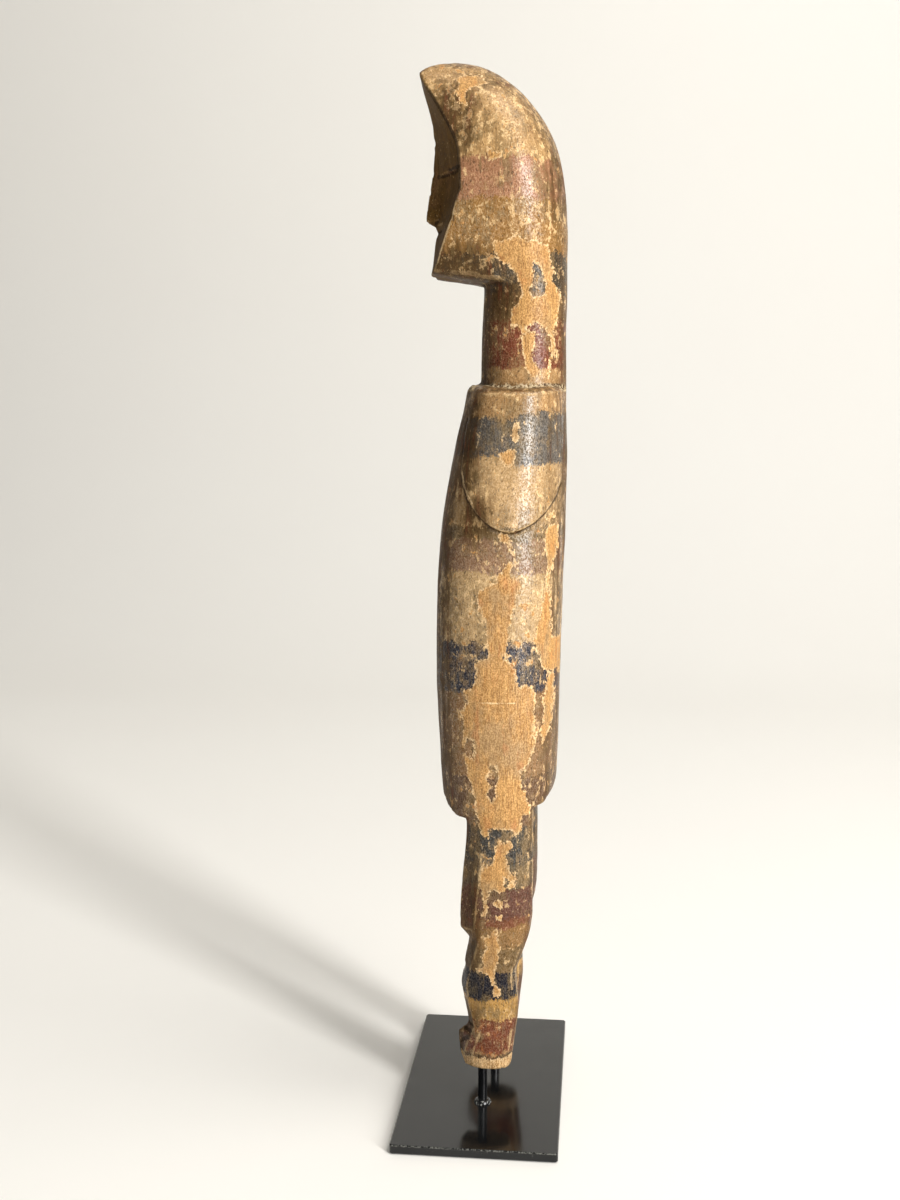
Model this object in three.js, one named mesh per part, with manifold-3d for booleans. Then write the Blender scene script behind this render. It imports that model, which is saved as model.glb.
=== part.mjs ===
import * as THREE from 'three';
import { mergeVertices } from 'three/addons/utils/BufferGeometryUtils.js';
import Module from 'manifold-3d';

// A carved wooden figure that two thin rods hold above a flat metal plate.
// Millimetres, +Z up. The origin is the middle of the plate's underside.
// The figure faces -Y, and its left side is towards +X.

// Stand
const plateLength = 130;
const plateDepth = 70;
const plateThickness = 4;
const plateCornerRadius = 1;
const plateEdgeBevel = 0.4;
const rodDiameter = 4;
const rodSpacing = 48;
const rodSetback = 1.6;
const rodSkew = 2;
const rodClearance = 0.3;
const rodEndRecess = 0.5;
const rodTipBevel = 0.5;
const socketOverrun = 1;
const beadDiameter = 7.6;
const beadHeight = 1.6;
const gapUnderFeet = 18.5;
const rodDepthInFoot = 14;

// Figure. Its pose and carving are shares of its own height: every level and every
// distance in the profiles below is in hundredths of that height.
const figureHeight = 427.6;
const share = figureHeight / 100;
const soleHeight = plateThickness + gapUnderFeet;
const armRelief = 0.52;
const shoulderDrop = 0.6;
const ovalPower = 2.3;

// How finely the carved forms are divided
const trunkSides = 44;
const trunkStep = 1.9;
const edgeSteps = 4;
const armSteps = 12;
const faceSteps = 7;
const cheekSteps = 4;
const napeSteps = 9;
const legSideSteps = 5;
const roundSides = 24;
const beadSteps = 5;
const weldDistance = 1e-4;

// The oval trunk: level, front, back, half width. Below the hips the same oval gives
// the outer sides of the legs.
const trunkProfile = smoothProfile([
  [0, -3.2, 4.9, 7.2],
  [4, -3.2, 4.9, 7.15],
  [10, -3.25, 5.1, 7.3],
  [15, -4.0, 6.3, 7.6],
  [20, -4.1, 6.9, 7.8],
  [27.4, -4.43, 7.2, 7.95],
  [32.3, -4.76, 7.42, 8.05],
  [37.7, -5.06, 7.56, 8.15],
  [42.8, -5.18, 7.63, 8.15],
  [49, -5.02, 7.79, 8],
  [54.3, -4.62, 7.93, 7.75],
  [60.3, -3.71, 7.98, 7.4],
  [64.8, -2.8, 7.91, 7.15],
  [67.5, -2.1, 7.82, 6.95],
]);

// The trunk is lofted from inside the legs up to the rounded top of the shoulders.
const trunkFoot = 22.3;
const shoulderLevel = 68.1;
const shoulderRound = 0.9;
const shoulderInset = 1.1;
const slopeStartLevel = 62;

// Underside of the trunk, seen from the side, from front to back: distance, level
const undersideOutline = [
  [-4.7, 29.4],
  [-4.2, 27.6],
  [-3.5, 26.7],
  [-2.2, 26],
  [6, 27.4],
  [6.7, 27.9],
  [7.5, 29.4],
];
// The cut under the trunk goes on below that outline, round the top of the legs.
const undersideCut = [[9, 30], [9, 18], [-6, 18], [-6, 28]];
const sideReach = 12;

// Arm outline on the flank: where its straight edges end and its round tip begins
const armEdgeFront = -2.1;
const armEdgeBack = 7.7;
const armTipLevel = 54.7;
const armRoundLevel = 60.4;
const armTipPower = 1.75;
const armTopFront = -1.1;
const armTopMargin = 3;
const armInnerSide = 1;

// Neck, from the shoulders to the jaw: level, front, back, half width
const neckProfile = smoothProfile([
  [65, -0.85, 7.87, 4.55],
  [72, -0.62, 7.89, 4.45],
  [78.65, -0.4, 7.93, 4.73],
]);
const neckLevels = [65, 68.5, 72, 75, 77, 78.65];

// Head above the jaw
const jawLevel = 78.7;
const chinRise = 0.95;
const chinFade = 2;
const jawRound = 0.13;
const jawRoundLevel = 79.2;
const browLevel = 89.3;
const noseTipLevel = 85;
const noseBaseLevel = 84.5;
const bridgeLevel = 91.7;
const foreheadLevel = 98.6;
const headHalfWidth = smoothProfile([
  [78.7, 4.73],
  [81.6, 5.3],
  [83.7, 5.8],
  [85.8, 6.15],
  [89.3, 6.4],
]);
const crownRise = 10.7;
const crownClosing = 0.01;
const headBack = smoothProfile([
  [78.7, 7.93],
  [83, 7.88],
  [87.2, 7.63],
  [90.6, 7.1],
  [93.5, 6.02],
  [95.6, 4.62],
  [97.35, 3.06],
  [98.8, 1.2],
  [99.6, -0.5],
  [100, -1.9],
]);
const faceRidge = straightProfile([
  [78.7, -5.76],
  [79.6, -5.72],
  [83.2, -5.25],
  [83.8, -4.98],
  [noseBaseLevel, -5.3],
  [noseTipLevel, -6.23],
  [browLevel, -5.55],
  [bridgeLevel, -5.3],
  [94.1, -5.48],
  [95.6, -5.85],
  [97, -6.38],
  [foreheadLevel, -6.67],
  [99.4, -5.6],
  [100, -3.6],
]);
const faceRim = smoothProfile([
  [78.7, -5.3],
  [81.6, -4.35],
  [83.6, -3.6],
  [85.6, -2.9],
  [87.8, -2.42],
  [browLevel, -2.36],
  [bridgeLevel, -2.72],
  [93.6, -3.68],
  [95.1, -4.52],
  [96.3, -5.25],
  [97.5, -5.95],
  [foreheadLevel, -6.5],
  [99.4, -5.4],
  [100, -3.5],
]);
const rimShare = straightProfile([
  [78.7, 0.82],
  [86, 0.93],
  [100, 0.93],
]);
const widestShare = smoothProfile([
  [78.7, 0.314],
  [81, 0.38],
  [84, 0.5],
  [89, 0.55],
]);
const noseHalfWidth = straightProfile([
  [noseBaseLevel, 1.25],
  [noseTipLevel, 1.3],
  [browLevel, 0.75],
]);
const noseRise = straightProfile([
  [noseBaseLevel, 0],
  [noseTipLevel, 1.05],
  [browLevel, 0.4],
  [bridgeLevel, 0],
]);
const browStep = 0.12;
const eyeHollow = straightProfile([
  [84.2, 0],
  [88, 0.5],
  [browLevel - browStep, 0.62],
  [browLevel, 0],
]);
const headLevels = [
  jawLevel, 78.9, jawRoundLevel, 79.7, 80.7, 82, 83.2, 83.8, noseBaseLevel, noseTipLevel,
  86.2, 87.4, 88.4, browLevel - browStep, browLevel, 90.4, bridgeLevel, 92.9, 94.1, 95.3, 96.4, 97.4,
  foreheadLevel, 99.1, 99.5, 99.8, 100,
];

// Leg: level, front, back, depth of the front bevel
const legProfile = straightProfile([
  [0, -1.95, 2.9, 0.35],
  [0.45, -2.2, 3.1, 0.35],
  [1.75, -2.33, 3.27, 0.7],
  [3.05, -2.36, 3.41, 1.2],
  [3.6, -1.75, 3.48, 0.9],
  [4.3, -1.31, 3.55, 0.65],
  [5.3, -1.5, 3.66, 0.6],
  [6.4, -1.77, 3.7, 0.6],
  [7.3, -2, 3.63, 0.66],
  [8.3, -2.15, 3.55, 0.68],
  [9.3, -2.02, 3.48, 0.66],
  [10.2, -1.83, 3.5, 0.68],
  [11.3, -1.63, 3.9, 0.85],
  [12.4, -1.42, 4.3, 0.95],
  [13.5, -1.21, 4.68, 1],
  [14.5, -2.15, 4.95, 1.45],
  [15.8, -2.18, 5.1, 1.6],
  [17.6, -2.12, 5.16, 1.7],
  [22.75, -1.68, 5.14, 1.75],
  [27.6, -1.5, 5.12, 1.75],
]);
const legLevels = [
  0, 0.45, 1.75, 3.05, 3.6, 4.3, 5.3, 6.4, 7.3, 8.3, 9.3, 10.2, 11.3, 12.4, 13.5, 14.5,
  15.8, 17.6, 20.2, 22.75, 27.6,
];
const legBackBevel = 0.4;
const legFlatOuter = 1.4;
const legFlatInner = 1.2;
const legInner = straightProfile([
  [0, 3.5],
  [4.3, 3.75],
  [14, 3.6],
  [27.6, 3.4],
]);
const legSeam = 0.04;

const wood = new THREE.MeshStandardMaterial({ color: 0xa07a4c, roughness: 0.6, metalness: 0 });
const blackMetal = new THREE.MeshStandardMaterial({ color: 0x17181a, roughness: 0.22, metalness: 0.4 });

const wasm = await Module();
wasm.setup();

// A profile answers with its columns at a level, on a smooth curve or on straight lines.
function profileOf(rows, Interpolant) {
  const levels = rows.map((row) => row[0]);
  const columns = rows[0].length - 1;
  const values = rows.flatMap((row) => row.slice(1));
  const interpolant = new Interpolant(levels, values, columns, new Array(columns));
  return (level) => {
    const found = interpolant.evaluate(THREE.MathUtils.clamp(level, levels[0], levels.at(-1)));
    return columns === 1 ? found[0] : [...found];
  };
}

function smoothProfile(rows) {
  return profileOf(rows, THREE.CubicInterpolant);
}

function straightProfile(rows) {
  return profileOf(rows, THREE.LinearInterpolant);
}

// Half width of an oval at a distance from front to back
function ovalSide(distance, front, back, halfWidth) {
  const middle = (front + back) / 2;
  const reach = Math.min(1, Math.abs(distance - middle) / ((back - front) / 2));
  return halfWidth * (1 - reach ** ovalPower) ** (1 / ovalPower);
}

// A closed solid through rings of points that run anticlockwise seen from above
function loft(rings) {
  const sides = rings[0].length;
  const points = rings.flat();
  const index = [];
  for (let ring = 0; ring < rings.length - 1; ring += 1) {
    for (let side = 0; side < sides; side += 1) {
      const next = (side + 1) % sides;
      const lower = ring * sides;
      const upper = lower + sides;
      index.push(lower + side, lower + next, upper + next);
      index.push(lower + side, upper + next, upper + side);
    }
  }
  const last = (rings.length - 1) * sides;
  for (const [start, up] of [[0, false], [last, true]]) {
    const middle = new THREE.Vector3();
    for (let side = 0; side < sides; side += 1) {
      middle.addScaledVector(points[start + side], 1 / sides);
    }
    points.push(middle);
    for (let side = 0; side < sides; side += 1) {
      const here = start + side;
      const next = start + (side + 1) % sides;
      index.push(points.length - 1, up ? here : next, up ? next : here);
    }
  }
  const geometry = new THREE.BufferGeometry().setFromPoints(points);
  geometry.setIndex(index);
  return geometry;
}

function toSolid(geometry) {
  const bare = geometry.clone();
  bare.deleteAttribute('normal');
  bare.deleteAttribute('uv');
  const merged = mergeVertices(bare, weldDistance);
  return new wasm.Manifold(new wasm.Mesh({
    numProp: 3,
    vertProperties: new Float32Array(merged.attributes.position.array),
    triVerts: new Uint32Array(merged.index.array),
  }));
}

function toGeometry(solid) {
  const mesh = solid.getMesh();
  const geometry = new THREE.BufferGeometry();
  geometry.setAttribute('position', new THREE.BufferAttribute(mesh.vertProperties, 3));
  geometry.setIndex(new THREE.BufferAttribute(mesh.triVerts, 1));
  geometry.computeVertexNormals();
  return geometry;
}

// Half of a ring, from front to back on the left side, closed by its mirror image
function mirrored(half) {
  const other = half.slice(1, -1).reverse();
  return [...half, ...other.map((point) => new THREE.Vector3(-point.x, point.y, point.z))];
}

function figurePoint(x, y, level) {
  return new THREE.Vector3(x * share, y * share, soleHeight + level * share);
}

// Trunk ring: an oval, sloping down towards the flanks where it nears the shoulders
function trunkRing(level, relief, inset) {
  const [front, back, halfWidth] = trunkProfile(level);
  const slope = shoulderDrop * THREE.MathUtils.smoothstep(level, slopeStartLevel, shoulderLevel);
  const half = [];
  for (let step = 0; step <= trunkSides / 2; step += 1) {
    const angle = Math.PI * step / (trunkSides / 2);
    const across = Math.sin(angle) ** (2 / ovalPower);
    const along = Math.sign(Math.cos(angle)) * Math.abs(Math.cos(angle)) ** (2 / ovalPower);
    const x = (halfWidth + relief - inset) * across;
    const y = (front + back) / 2 - ((back - front) / 2 - inset) * along;
    half.push(figurePoint(x, y, level - slope * across * across));
  }
  return mirrored(half);
}

function trunkSolid(relief) {
  const rings = [];
  const steps = Math.round((shoulderLevel - trunkFoot) / trunkStep);
  for (let step = 0; step <= steps; step += 1) {
    rings.push(trunkRing(THREE.MathUtils.lerp(trunkFoot, shoulderLevel, step / steps), relief, 0));
  }
  for (let step = 1; step <= edgeSteps; step += 1) {
    const angle = Math.PI / 2 * step / edgeSteps;
    const level = shoulderLevel + shoulderRound * Math.sin(angle);
    rings.push(trunkRing(level, relief, shoulderInset * (1 - Math.cos(angle))));
  }
  return toSolid(loft(rings));
}

// A prism across the figure from an outline of distances and levels
function crosswisePrism(outline, from, to) {
  const shape = new THREE.Shape(outline.map(([y, level]) => (
    new THREE.Vector2(y * share, soleHeight + level * share)
  )));
  const geometry = new THREE.ExtrudeGeometry(shape, { depth: (to - from) * share, bevelEnabled: false });
  const frame = new THREE.Matrix4().makeBasis(
    new THREE.Vector3(0, 1, 0),
    new THREE.Vector3(0, 0, 1),
    new THREE.Vector3(1, 0, 0),
  );
  frame.setPosition(from * share, 0, 0);
  geometry.applyMatrix4(frame);
  return toSolid(geometry);
}

// Both arms lie on the flanks as a low raised slab with a round lower end.
function armOutline() {
  const middle = (armEdgeFront + armEdgeBack) / 2;
  const halfWidth = (armEdgeBack - armEdgeFront) / 2;
  const above = shoulderLevel + armTopMargin;
  const outline = [[armEdgeBack, above], [armTopFront, above]];
  for (let step = 0; step <= armSteps; step += 1) {
    const angle = Math.PI * step / armSteps;
    const along = Math.sign(Math.cos(angle)) * Math.abs(Math.cos(angle)) ** (2 / armTipPower);
    const down = Math.sin(angle) ** (2 / armTipPower);
    outline.push([
      middle - halfWidth * along,
      armRoundLevel - (armRoundLevel - armTipLevel) * down,
    ]);
  }
  return outline;
}

function torsoSolid() {
  const underside = crosswisePrism([...undersideOutline, ...undersideCut], -sideReach, sideReach);
  const slab = trunkSolid(armRelief);
  const outline = armOutline();
  const leftArm = slab.intersect(crosswisePrism(outline, armInnerSide, sideReach));
  const rightArm = slab.intersect(crosswisePrism(outline, -sideReach, -armInnerSide));
  return trunkSolid(0).subtract(underside).add(leftArm).add(rightArm);
}

function neckRing(level) {
  const [front, back, halfWidth] = neckProfile(level);
  const frontSteps = faceSteps + cheekSteps;
  const middle = (front + back) / 2;
  const half = [];
  for (let step = 0; step <= frontSteps + napeSteps; step += 1) {
    const angle = step <= frontSteps
      ? Math.PI / 2 * step / frontSteps
      : Math.PI / 2 * (1 + (step - frontSteps) / napeSteps);
    const x = step === frontSteps + napeSteps ? 0 : halfWidth * Math.sin(angle);
    half.push(figurePoint(x, middle - (back - front) / 2 * Math.cos(angle), level));
  }
  return mirrored(half);
}

// The face between its middle line and its rim: two hollow planes that meet in a ridge,
// with a straight nose and a step under the brow.
function facePoint(across, level, rimX) {
  const ridge = faceRidge(level);
  const rim = faceRim(level);
  const hasNose = level >= noseBaseLevel && level < bridgeLevel;
  const noseEdge = hasNose ? noseHalfWidth(level) / rimX : 0;
  const plane = (t) => THREE.MathUtils.lerp(ridge + (hasNose ? noseRise(level) : 0), rim, t);
  if (across < noseEdge) {
    return THREE.MathUtils.lerp(ridge, plane(noseEdge), across / noseEdge);
  }
  const hollow = eyeHollow(level) * Math.sin(Math.PI * (across - noseEdge) / (1 - noseEdge));
  return plane(across) + hollow;
}

function headRing(level) {
  const halfWidth = level < browLevel
    ? headHalfWidth(level)
    : headHalfWidth(browLevel) * Math.sqrt(
      Math.max(crownClosing, 1 - ((level - browLevel) / crownRise) ** 2),
    );
  const back = headBack(level);
  const rim = faceRim(level);
  const rimX = halfWidth * rimShare(level);
  const widest = THREE.MathUtils.lerp(back, rim, widestShare(level));
  const ridge = faceRidge(level);
  const noseEdge = noseHalfWidth(level) / rimX;
  const half = [];
  const chinLift = Math.max(0, chinRise - (level - jawLevel) / chinFade);
  const narrowing = jawRound * Math.max(0, 1 - (level - jawLevel) / (jawRoundLevel - jawLevel)) ** 2;
  const add = (x, y) => {
    const forward = THREE.MathUtils.clamp((widest - y) / (widest - ridge), 0, 1);
    const narrowed = x * (1 - narrowing * forward);
    half.push(figurePoint(narrowed, y, level + chinLift * forward));
  };
  for (let step = 0; step <= faceSteps; step += 1) {
    const beyondNose = Math.max(0, step - 1) / (faceSteps - 1);
    const even = step === 0 ? 0 : THREE.MathUtils.lerp(noseEdge, 1, beyondNose);
    add(rimX * even, facePoint(even, level, rimX));
  }
  const bow = (widest - rim) / Math.sqrt(1 - (rimX / halfWidth) ** 2);
  for (let step = 1; step <= cheekSteps; step += 1) {
    const y = THREE.MathUtils.lerp(rim, widest, step / cheekSteps);
    add(halfWidth * Math.sqrt(1 - ((widest - y) / bow) ** 2), y);
  }
  for (let step = 1; step <= napeSteps; step += 1) {
    const angle = Math.PI / 2 * step / napeSteps;
    add(step === napeSteps ? 0 : halfWidth * Math.cos(angle), widest + (back - widest) * Math.sin(angle));
  }
  return mirrored(half);
}

function headSolid() {
  const rings = [];
  for (const level of neckLevels) {
    rings.push(neckRing(level));
  }
  for (const level of headLevels) {
    rings.push(headRing(level));
  }
  return toSolid(loft(rings));
}

function legRing(level) {
  const [front, back, bevel] = legProfile(level);
  const [ovalFront, ovalBack, halfWidth] = trunkProfile(level);
  const inner = legInner(level);
  const sideFront = front + bevel;
  const sideBack = back - legBackBevel;
  const outer = (y) => ovalSide(y, ovalFront, ovalBack, halfWidth - legSeam);
  const ring = [
    figurePoint(inner, sideBack, level),
    figurePoint(inner, sideFront, level),
    figurePoint(inner + legFlatInner, front, level),
    figurePoint(outer(sideFront) - legFlatOuter, front, level),
  ];
  for (let step = 0; step <= legSideSteps; step += 1) {
    const y = THREE.MathUtils.lerp(sideFront, sideBack, step / legSideSteps);
    ring.push(figurePoint(outer(y), y, level));
  }
  ring.push(figurePoint(outer(sideBack) - legFlatOuter / 2, back, level));
  ring.push(figurePoint(inner + legFlatInner, back, level));
  return ring;
}

function legSolid() {
  return toSolid(loft(legLevels.map(legRing)));
}

// The rods stand a little behind the plate's middle, the right one further back.
function rodPlace(side) {
  return [side * rodSpacing / 2, rodSetback - side * rodSkew / 2];
}

function rodSocket(side) {
  const radius = rodDiameter / 2 + rodClearance;
  const socket = new THREE.CylinderGeometry(radius, radius, rodDepthInFoot + socketOverrun, roundSides);
  socket.rotateX(Math.PI / 2);
  const middle = soleHeight + (rodDepthInFoot - socketOverrun) / 2;
  socket.translate(...rodPlace(side), middle);
  return toSolid(socket);
}

function figureGeometry() {
  const leftLeg = legSolid();
  const rightLeg = leftLeg.mirror([1, 0, 0]);
  const body = torsoSolid().add(headSolid()).add(leftLeg).add(rightLeg);
  return toGeometry(body.subtract(rodSocket(1)).subtract(rodSocket(-1)));
}

// Plate: a flat rectangle with lightly broken edges and a drilled hole for each rod
function plateGeometry() {
  const x = plateLength / 2 - plateEdgeBevel;
  const y = plateDepth / 2 - plateEdgeBevel;
  const r = plateCornerRadius;
  const shape = new THREE.Shape();
  shape.moveTo(-x + r, -y);
  shape.lineTo(x - r, -y);
  shape.absarc(x - r, -y + r, r, -Math.PI / 2, 0);
  shape.lineTo(x, y - r);
  shape.absarc(x - r, y - r, r, 0, Math.PI / 2);
  shape.lineTo(-x + r, y);
  shape.absarc(-x + r, y - r, r, Math.PI / 2, Math.PI);
  shape.lineTo(-x, -y + r);
  shape.absarc(-x + r, -y + r, r, Math.PI, Math.PI * 1.5);
  const plate = new THREE.ExtrudeGeometry(shape, {
    depth: plateThickness - 2 * plateEdgeBevel,
    bevelThickness: plateEdgeBevel,
    bevelSize: plateEdgeBevel,
    bevelSegments: 1,
    curveSegments: 4,
  });
  plate.translate(0, 0, plateEdgeBevel);
  let solid = toSolid(plate);
  for (const side of [-1, 1]) {
    const radius = rodDiameter / 2 + rodClearance;
    const hole = new THREE.CylinderGeometry(radius, radius, plateThickness * 2, roundSides);
    hole.rotateX(Math.PI / 2);
    hole.translate(...rodPlace(side), plateThickness / 2);
    solid = solid.subtract(toSolid(hole));
  }
  return toGeometry(solid);
}

// Rod: a round bar with a low bead of solder where it stands on the plate
function rodGeometry() {
  const radius = rodDiameter / 2;
  const top = soleHeight + rodDepthInFoot;
  const profile = [
    new THREE.Vector2(0, rodEndRecess),
    new THREE.Vector2(radius, rodEndRecess),
    new THREE.Vector2(radius, plateThickness),
  ];
  for (let step = 0; step <= beadSteps; step += 1) {
    const angle = Math.PI / 2 * step / beadSteps;
    profile.push(new THREE.Vector2(
      radius + (beadDiameter / 2 - radius) * Math.cos(angle),
      plateThickness + beadHeight * Math.sin(angle),
    ));
  }
  profile.push(new THREE.Vector2(radius, top - rodTipBevel));
  profile.push(new THREE.Vector2(radius - rodTipBevel, top));
  profile.push(new THREE.Vector2(0, top));
  const rod = new THREE.LatheGeometry(profile, roundSides);
  rod.rotateX(Math.PI / 2);
  return rod;
}

function named(name, geometry, material) {
  const mesh = new THREE.Mesh(geometry, material);
  mesh.name = name;
  return mesh;
}

const stand = new THREE.Group();
stand.add(named('base_plate', plateGeometry(), blackMetal));
for (const [name, side] of [['left_rod', 1], ['right_rod', -1]]) {
  const rod = named(name, rodGeometry(), blackMetal);
  rod.position.set(...rodPlace(side), 0);
  stand.add(rod);
}

const object = new THREE.Group();
object.add(stand);
object.add(named('figure', figureGeometry(), wood));

export default object;
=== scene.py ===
import math

import bmesh
import bpy
import numpy as np
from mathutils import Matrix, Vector, bvhtree, kdtree


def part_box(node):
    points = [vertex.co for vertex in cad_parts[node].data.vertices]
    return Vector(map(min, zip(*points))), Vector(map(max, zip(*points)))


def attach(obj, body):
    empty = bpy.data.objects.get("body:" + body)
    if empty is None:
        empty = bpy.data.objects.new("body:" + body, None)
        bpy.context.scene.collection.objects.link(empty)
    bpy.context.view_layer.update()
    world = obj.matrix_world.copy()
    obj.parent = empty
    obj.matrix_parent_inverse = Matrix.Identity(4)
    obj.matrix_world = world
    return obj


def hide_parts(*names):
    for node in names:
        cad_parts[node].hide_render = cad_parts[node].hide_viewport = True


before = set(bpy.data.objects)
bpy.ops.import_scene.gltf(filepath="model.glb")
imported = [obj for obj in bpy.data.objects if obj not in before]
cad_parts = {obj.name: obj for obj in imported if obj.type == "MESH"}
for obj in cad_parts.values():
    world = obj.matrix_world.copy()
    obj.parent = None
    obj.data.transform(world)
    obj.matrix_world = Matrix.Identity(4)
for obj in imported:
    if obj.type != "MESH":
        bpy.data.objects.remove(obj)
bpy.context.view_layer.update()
mm = 0.001


def tone(red, green, blue):
    # a colour as it looks on screen, turned into light
    share = [v / 255 for v in (red, green, blue)]
    return tuple(v / 12.92 if v <= 0.04045 else ((v + 0.055) / 1.055) ** 2.4 for v in share) + (1.0,)


class Shade:
    # a value, colour or vector in a material, which adds and multiplies like a number
    def __init__(self, tree, socket=None):
        self.tree = tree
        self.socket = socket

    def plug(self, place, value):
        if isinstance(value, Shade):
            self.tree.links.new(value.socket, place)
        else:
            place.default_value = value

    def node(self, kind, settings, values, output=0):
        made = self.tree.nodes.new(kind)
        for name, value in settings.items():
            if name == "stops":
                ramp = made.color_ramp
                ramp.interpolation = "CONSTANT"
                ramp.elements.remove(ramp.elements[1])
                ramp.elements[0].position = value[0][0]
                ramp.elements[0].color = value[0][1]
                for position, colour in value[1:]:
                    ramp.elements.new(position).color = colour
            else:
                setattr(made, name, value)
        for key, value in values.items():
            self.plug(made.inputs[key], value)
        return Shade(self.tree, made.outputs[output])

    def sum(self, kind, *values):
        return self.node("ShaderNodeMath", {"operation": kind}, dict(enumerate(values)))

    def __add__(self, other):
        return self.sum("ADD", self, other)

    def __radd__(self, other):
        return self.sum("ADD", other, self)

    def __sub__(self, other):
        return self.sum("SUBTRACT", self, other)

    def __rsub__(self, other):
        return self.sum("SUBTRACT", other, self)

    def __mul__(self, other):
        return self.sum("MULTIPLY", self, other)

    def __rmul__(self, other):
        return self.sum("MULTIPLY", other, self)

    def __abs__(self):
        return self.sum("ABSOLUTE", self)

    def larger(self, other):
        return self.sum("MAXIMUM", self, other)

    def ease(self, low, high, start=0.0, end=1.0):
        # start below low and end above high, with a soft step between
        return self.node(
            "ShaderNodeMapRange", {"interpolation_type": "SMOOTHSTEP"},
            {0: self, 1: low, 2: high, 3: start, 4: end})

    def between(self, first, second):
        # this value mixes the first colour with the second: sockets 0, 6 and 7, output 2
        return self.node("ShaderNodeMix", {"data_type": "RGBA"}, {0: self, 6: first, 7: second}, 2)

    def toward(self, colour, amount):
        # this colour, mixed with another by an amount
        return self.node("ShaderNodeMix", {"data_type": "RGBA"}, {0: amount, 6: self, 7: colour}, 2)

    def times(self, colour):
        # this colour multiplied by another
        return self.node(
            "ShaderNodeMix", {"data_type": "RGBA", "blend_type": "MULTIPLY"},
            {0: 1.0, 6: self, 7: colour}, 2)

    def grey(self):
        return self.node("ShaderNodeCombineColor", {}, {0: self, 1: self, 2: self})

    def part(self, axis):
        # 0, 1 or 2 for X, Y or Z of a place
        return self.node("ShaderNodeSeparateXYZ", {}, {0: self}, axis)

    def field(self, name):
        return self.node("ShaderNodeAttribute", {"attribute_name": name}, {}, "Fac")

    def cloud(self, size, grain=1.0, detail=3.0, rough=0.55):
        # noise whose lumps are about size mm across and grain times as long upwards
        across = 1 / (size * mm)
        scaled = self.node(
            "ShaderNodeVectorMath", {"operation": "MULTIPLY"},
            {0: self, 1: (across, across, across / grain)})
        return self.node(
            "ShaderNodeTexNoise", {"noise_dimensions": "3D"},
            {"Vector": scaled, "Scale": 1.0, "Detail": detail, "Roughness": rough})


def startMaterial(name):
    material = bpy.data.materials.new(name)
    material.use_nodes = True
    tree = material.node_tree
    place = Shade(tree).node("ShaderNodeTexCoord", {}, {}, "Object")
    return material, place, tree.nodes["Principled BSDF"]


# the carved figure: lengths in mm, pairs are where a soft step starts and where it ends

carving = {
    "voxel": 1.08,                  # between points of the fine mesh
    "edgeAngle": 24,                # degrees: sharper bends of the solid are carved edges
    "edgeStep": 0.2,
    "snap": 0.6,                    # share of a voxel from which a point moves onto an edge
    "hipSeam": (119, 149, 26),      # low, high, distance from the middle
    "napeSeam": (350, 368, 5),      # low, high, distance behind the middle
    "weld": 0.002,
    "smoothing": 14,                # rounds
    "leastPull": 0.06,
    "pull": 0.5,
    "keepNearEdge": (0.7, 4.5),
    "keepNearRod": (2.6, 5.5),
    "socketTop": 42,
    "soleKeep": (23, 27),
    "solePull": 0.2,
    "waves": [(26, 0.30, 11), (9, 0.14, 12)],      # size, depth, seed
    "toolMarks": (3.6, 5.5, 0.10, 13),             # size, stretch, depth, seed
    "chips": (5.5, 21, 0.25, 0.75),                # size, seed, where the noise starts and is full
    "chipReach": (0.4, 2.2),
    "chipDepth": 0.55,
    "crustLevel": 315.6,
    "crustWander": (0.6, 8, 22),                   # height, size, seed
    "crustReach": (0.6, 2.6),
    "crustFromEdge": (1.2, 3.5),
    "crustHeight": 0.8,
    "crustLumps": (0.25, 1.9, 23),                 # share that is even, size, seed
}

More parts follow.
